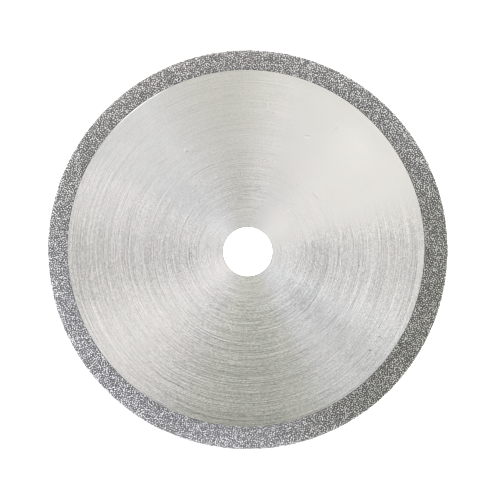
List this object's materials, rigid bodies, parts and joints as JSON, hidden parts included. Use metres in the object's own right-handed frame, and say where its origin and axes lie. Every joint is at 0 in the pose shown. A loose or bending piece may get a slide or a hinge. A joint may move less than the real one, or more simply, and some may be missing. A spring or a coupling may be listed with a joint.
{
  "type": "diamond cutting disc",
  "caption": "Thin flat round steel disc with a plain arbor bore and a band of diamond grit plated round its rim, for cutting hard, brittle material.",
  "frame": {"origin": "on the arbor bore's axis, at the middle of the steel's thickness", "axes": "+Z along the bore's axis; the disc lies flat; -X and +Y are towards the narrower side of the grit band"},
  "size_m": [0.081, 0.081, 0.0014],
  "materials": {
    "ground_steel": "circular ground, satin",
    "diamond_plating": "coarse grit in nickel plate"
  },
  "bodies": {
    "root": {"steel_blank": "ground_steel", "diamond_rim": "diamond_plating"}
  },
  "joints": []
}
